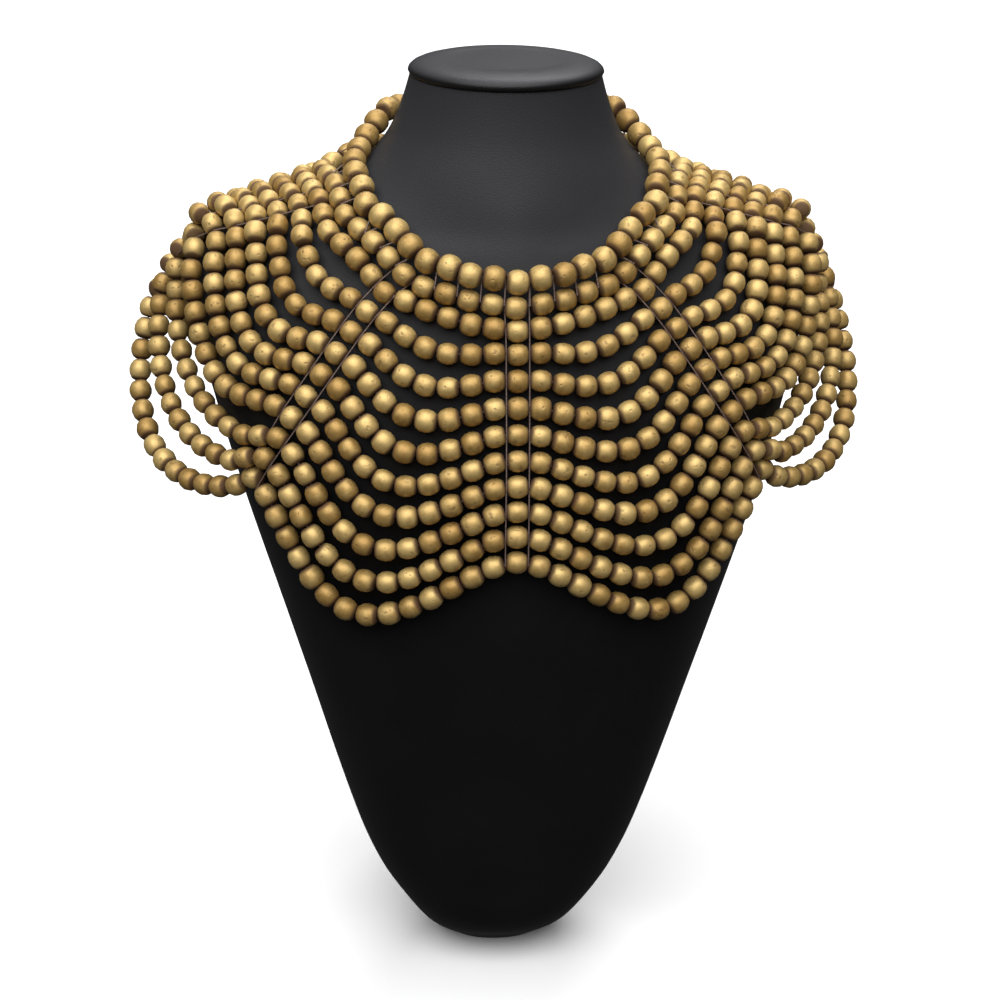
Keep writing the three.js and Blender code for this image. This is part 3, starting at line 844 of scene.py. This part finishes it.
class NECKLACE_OT_bust_strut(bpy.types.Operator):
    """Round the edges of the strut behind the bust"""

    bl_idname = "necklace.bust_strut"
    bl_label = "Strut"

    def execute(self, context):
        strut = copy_of_node("bust_strut", "bust_strut_board")
        edit(strut, lambda: bpy.ops.mesh.dissolve_limited(angle_limit=math.radians(1)))
        finish_modifier(strut, "BEVEL", width=STRUT_BEVEL, segments=3, limit_method="ANGLE",
                        angle_limit=math.radians(40))
        smooth(strut, 30)
        hand_over(strut, "leatherette", bpy.data.materials["black_leatherette"], "bust_strut")
        return {"FINISHED"}


# The beads


def bead_blank(name, rings):
    """One bead of radius 1 round the Z axis, with its ends cut flat where the hole comes out."""
    bpy.ops.object.select_all(action="DESELECT")
    bpy.ops.mesh.primitive_uv_sphere_add(segments=BEAD_SIDES, ring_count=rings, radius=1)
    blank = bpy.context.object
    blank.name = name
    for side in (-1, 1):
        cut = {"plane_co": (0, 0, side * BEAD_FLAT), "plane_no": (0, 0, side)}
        edit(blank, lambda: bpy.ops.mesh.bisect(**cut, clear_outer=True, use_fill=True, threshold=0.001))
    edit(blank, lambda: bpy.ops.mesh.normals_make_consistent(inside=False))
    select_by(blank, "faces", lambda face: abs(face.normal.z) > END_FACING)
    drawn_in = (BEAD_FLAT_DRAWN_IN, BEAD_FLAT_DRAWN_IN, 1)
    edit_selected(blank, lambda: bpy.ops.transform.resize(value=drawn_in))
    vertices = np.array([v.co for v in blank.data.vertices])
    faces = [np.array(face.vertices) for face in blank.data.polygons]
    bpy.data.objects.remove(blank)
    return {"vertices": vertices, "faces": faces}


def turn_onto(axis, roll):
    """The turn that lays Z onto an axis, rolled round it."""
    onto = Vector((0, 0, 1)).rotation_difference(axis).to_matrix()
    return np.array(onto @ Matrix.Rotation(roll, 3, "Z"))


def string_beads(name, row, blank, settings, draw):
    """A row of real beads as one mesh, each with its own size, tilt and tint."""
    centres = ROWS[row][0]
    directions = np.gradient(centres, axis=0)
    steps = np.linalg.norm(np.diff(centres, axis=0), axis=1)
    before = np.concatenate([steps[:1], steps])
    after = np.concatenate([steps, steps[-1:]])
    vertices, faces, tints, ends = [], [], [], []
    count = len(blank["vertices"])
    girth = BEAD_GIRTH * ROW_GIRTHS.get(row, 1)
    for index, centre in enumerate(centres):
        size = row_radius(row) * girth * (1 + draw.normal(0, settings.size_spread))
        half_length = min(before[index], after[index]) / 2 * draw.uniform(*BEAD_REACH)
        lean = Vector(directions[index]).normalized()
        lean += Vector(draw.normal(0, math.tan(settings.tilt_spread), 3))
        turn = turn_onto(lean.normalized(), draw.uniform(0, 2 * math.pi))
        oval = draw.normal(1, settings.oval_spread)
        shape = blank["vertices"] * (size * oval, size / oval, half_length / BEAD_FLAT)
        vertices.append(shape @ turn.T + centre)
        faces.extend(face + index * count for face in blank["faces"])
        tints.append(np.full(count, draw.uniform(0, 1)))
        ends.append(np.abs(blank["vertices"][:, 2]) / BEAD_FLAT)
    piece = new_piece(name, np.concatenate(vertices), faces)
    for attribute, values in (("bead_tint", tints), ("bead_end", ends)):
        layer = piece.data.attributes.new(attribute, "FLOAT", "POINT")
        layer.data.foreach_set("value", np.concatenate(values).astype(np.float32))
    smooth(piece, 50)
    return piece


class NECKLACE_OT_beads(bpy.types.Operator):
    """String the real beads of all rows"""

    bl_idname = "necklace.beads"
    bl_label = "Beads"

    def execute(self, context):
        settings = context.scene.necklace_beads
        paint = gold_paint(settings)
        neck_blank = bead_blank("neck_bead", NECK_BEAD_RINGS)
        row_blank = bead_blank("row_bead", ROW_BEAD_RINGS)
        draw = np.random.default_rng(SEED)
        for row in ROWS:
            blank = neck_blank if row == 1 else row_blank
            node = "neck_row" if row == 1 else f"row_{row:02d}"
            piece = string_beads(f"{node}_beads", row, blank, settings, draw)
            hand_over(piece, "gold_beads", paint, node)
        return {"FINISHED"}


# The threads


def thread_piece(name, lines, radius):
    """Threads along lines of points, as one closed mesh."""
    curve = bpy.data.curves.new(name, "CURVE")
    curve.dimensions = "3D"
    curve.bevel_depth = radius
    curve.bevel_resolution = THREAD_FACETS
    curve.use_fill_caps = True
    for line in lines:
        spline = curve.splines.new("POLY")
        spline.points.add(len(line) - 1)
        for point, place in zip(spline.points, line):
            point.co = (*place, 1)
    piece = bpy.data.objects.new(name, curve)
    bpy.context.scene.collection.objects.link(piece)
    pick_only(piece)
    bpy.ops.object.convert(target="MESH")
    piece = bpy.context.object
    smooth(piece, 60)
    return piece


def notch(row, index, neighbour, lift):
    """The notch between two beads of a string, some way out from the string's middle."""
    centres = ROWS[row][0]
    middle = (centres[index] + centres[neighbour]) / 2
    out = outside_bust(middle[None])[1][0]
    return middle + out * row_radius(row) * lift


def ladder_lines():
    """The two threads beside each ladder's beads, from the neck row to the last one."""
    ladders_on_sides = [(0, -1)]
    for ladder in range(1, len(LADDER_NAMES)):
        ladders_on_sides += [(ladder, -1), (ladder, 1)]
    lines = []
    for ladder, sign in ladders_on_sides:
        for side in (-1, 1):
            line = []
            for row, (centres, ladders, signs) in ROWS.items():
                on_it = (ladders == ladder) & ((signs == sign) | (ladder == 0))
                index = int(np.nonzero(on_it)[0][0])
                neighbour = index + side
                if 0 <= neighbour < len(centres):
                    lift = LADDER_LIFT if row > FLAT_LADDER_ROWS else 0
                    line.append(notch(row, index, neighbour, lift))
            if line:
                lines.append(line)
    return lines


def neck_tie_lines():
    """Short ties from each notch of the neck row to the nearest one of the second row."""
    first, second = ROWS[1][0], ROWS[2][0]
    gaps = range(len(second) - 1)
    below = np.array([notch(2, index, index + 1, NECK_TIE_LIFT) for index in gaps])
    lines = []
    for index in range(len(first) - 1):
        start = notch(1, index, index + 1, 0)
        end = below[np.argmin(np.linalg.norm(below - start, axis=1))]
        bulge = (start + end) / 2 + outside_bust(start[None])[1][0] * NECK_TIE_BULGE
        lines.append([start, bulge, end])
    return lines


class NECKLACE_OT_threads(bpy.types.Operator):
    """Run the thread through the beads and tie the ladders"""

    bl_idname = "necklace.threads"
    bl_label = "Threads"

    def execute(self, context):
        settings = context.scene.necklace_threads
        material = brown_thread(settings)
        radius = settings.diameter / 2
        middles = [centres for centres, _, _ in ROWS.values()]
        strings = thread_piece("row_strings", middles, radius * STRING_OVER_THREAD)
        hand_over(strings, "gold_beads", material)
        ladders = thread_piece("ladder_threads", ladder_lines(), radius)
        hand_over(ladders, "gold_beads", material)
        ties = thread_piece("neck_ties", neck_tie_lines(), radius)
        hand_over(ties, "gold_beads", material)
        return {"FINISHED"}


class NECKLACE_OT_clasp(bpy.types.Operator):
    """Round the edges of the barrel clasp behind the neck"""

    bl_idname = "necklace.clasp"
    bl_label = "Clasp"

    def execute(self, context):
        settings = context.scene.necklace_threads
        low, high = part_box("clasp")
        clasp = copy_of_node("clasp", "barrel_clasp")
        finish_modifier(clasp, "BEVEL", width=(high.z - low.z) * CLASP_BEVEL_SHARE, segments=3,
                        limit_method="ANGLE", angle_limit=math.radians(25))
        smooth(clasp, 40)
        hand_over(clasp, "clasp_brass", satin_brass(settings), "clasp")
        return {"FINISHED"}


# The stage


def soft_light(name, strength, width, direction):
    """A wide even light from one side, as a large softbox far away gives."""
    light = bpy.data.lights.new(name, "SUN")
    light.energy = strength
    light.angle = width
    lamp = bpy.data.objects.new(name, light)
    lamp.rotation_euler = Vector(direction).to_track_quat("-Z", "Y").to_euler()
    bpy.context.scene.collection.objects.link(lamp)


class NECKLACE_OT_stage(bpy.types.Operator):
    """Lay the floor, hang the lights and set the camera"""

    bl_idname = "necklace.stage"
    bl_label = "Stage"

    def execute(self, context):
        settings = context.scene.necklace_stage
        bpy.ops.object.select_all(action="DESELECT")
        bpy.ops.mesh.primitive_plane_add(size=FLOOR_SIZE, location=(0, 0, 0))
        floor = bpy.context.object
        floor.name = "floor"
        floor.data.materials.append(studio_floor(settings.floor_colour))
        # The pale floor throws no light back, so that the beads' undersides stay dark
        floor.visible_diffuse = False
        floor.visible_glossy = False
        soft_light("softbox", settings.key_strength, KEY_WIDTH, KEY_DIRECTION)
        soft_light("rear_softbox", settings.rear_strength, REAR_WIDTH, REAR_DIRECTION)
        world = bpy.data.worlds.new("studio")
        world.use_nodes = True
        background = world.node_tree.nodes["Background"]
        background.inputs["Color"].default_value = (1, 1, 1, 1)
        background.inputs["Strength"].default_value = settings.room_strength
        context.scene.world = world
        turn, pitch = settings.camera_turn, settings.camera_pitch
        aim = Vector((0, 0, settings.camera_height))
        level = Vector((math.sin(turn), -math.cos(turn), 0))
        back = level * math.cos(pitch) + Vector((0, 0, math.sin(pitch)))
        camera = bpy.data.objects.new("camera", bpy.data.cameras.new("camera"))
        camera.data.lens = settings.lens
        camera.data.sensor_width = SENSOR_WIDTH
        camera.location = aim + back * settings.camera_distance
        facing = (-back).to_track_quat("-Z", "Y") @ Quaternion((0, 0, 1), settings.camera_roll)
        camera.rotation_euler = facing.to_euler()
        bpy.context.scene.collection.objects.link(camera)
        context.scene.camera = camera
        context.scene.view_settings.view_transform = "Standard"
        return {"FINISHED"}


class NECKLACE_PT_panel(bpy.types.Panel):
    """Lists the pieces in the sidebar"""

    bl_idname = "NECKLACE_PT_panel"
    bl_label = "Bib Necklace"
    bl_space_type = "VIEW_3D"
    bl_region_type = "UI"
    bl_category = "Necklace"

    def draw(self, context):
        for operator in OPERATORS:
            self.layout.operator(operator.bl_idname)
        for name in GROUPS:
            group = getattr(context.scene, name)
            box = self.layout.box()
            for key in group.__annotations__:
                box.prop(group, key)


GROUPS = {
    "necklace_beads": BeadSettings,
    "necklace_bust": BustSettings,
    "necklace_threads": ThreadSettings,
    "necklace_stage": StageSettings,
}
OPERATORS = (
    NECKLACE_OT_bust_body,
    NECKLACE_OT_bust_cap,
    NECKLACE_OT_bust_strut,
    NECKLACE_OT_beads,
    NECKLACE_OT_threads,
    NECKLACE_OT_clasp,
    NECKLACE_OT_stage,
)


def register():
    for item in (*GROUPS.values(), *OPERATORS, NECKLACE_PT_panel):
        bpy.utils.register_class(item)
    for name, group in GROUPS.items():
        setattr(bpy.types.Scene, name, bpy.props.PointerProperty(type=group))


def unregister():
    for name in GROUPS:
        delattr(bpy.types.Scene, name)
    for item in (NECKLACE_PT_panel, *reversed(OPERATORS), *GROUPS.values()):
        bpy.utils.unregister_class(item)


def main():
    register()
    bpy.ops.necklace.bust_body()
    bpy.ops.necklace.bust_cap()
    bpy.ops.necklace.bust_strut()
    bpy.ops.necklace.beads()
    bpy.ops.necklace.threads()
    bpy.ops.necklace.clasp()
    bpy.ops.necklace.stage()


if __name__ == "__main__":
    main()
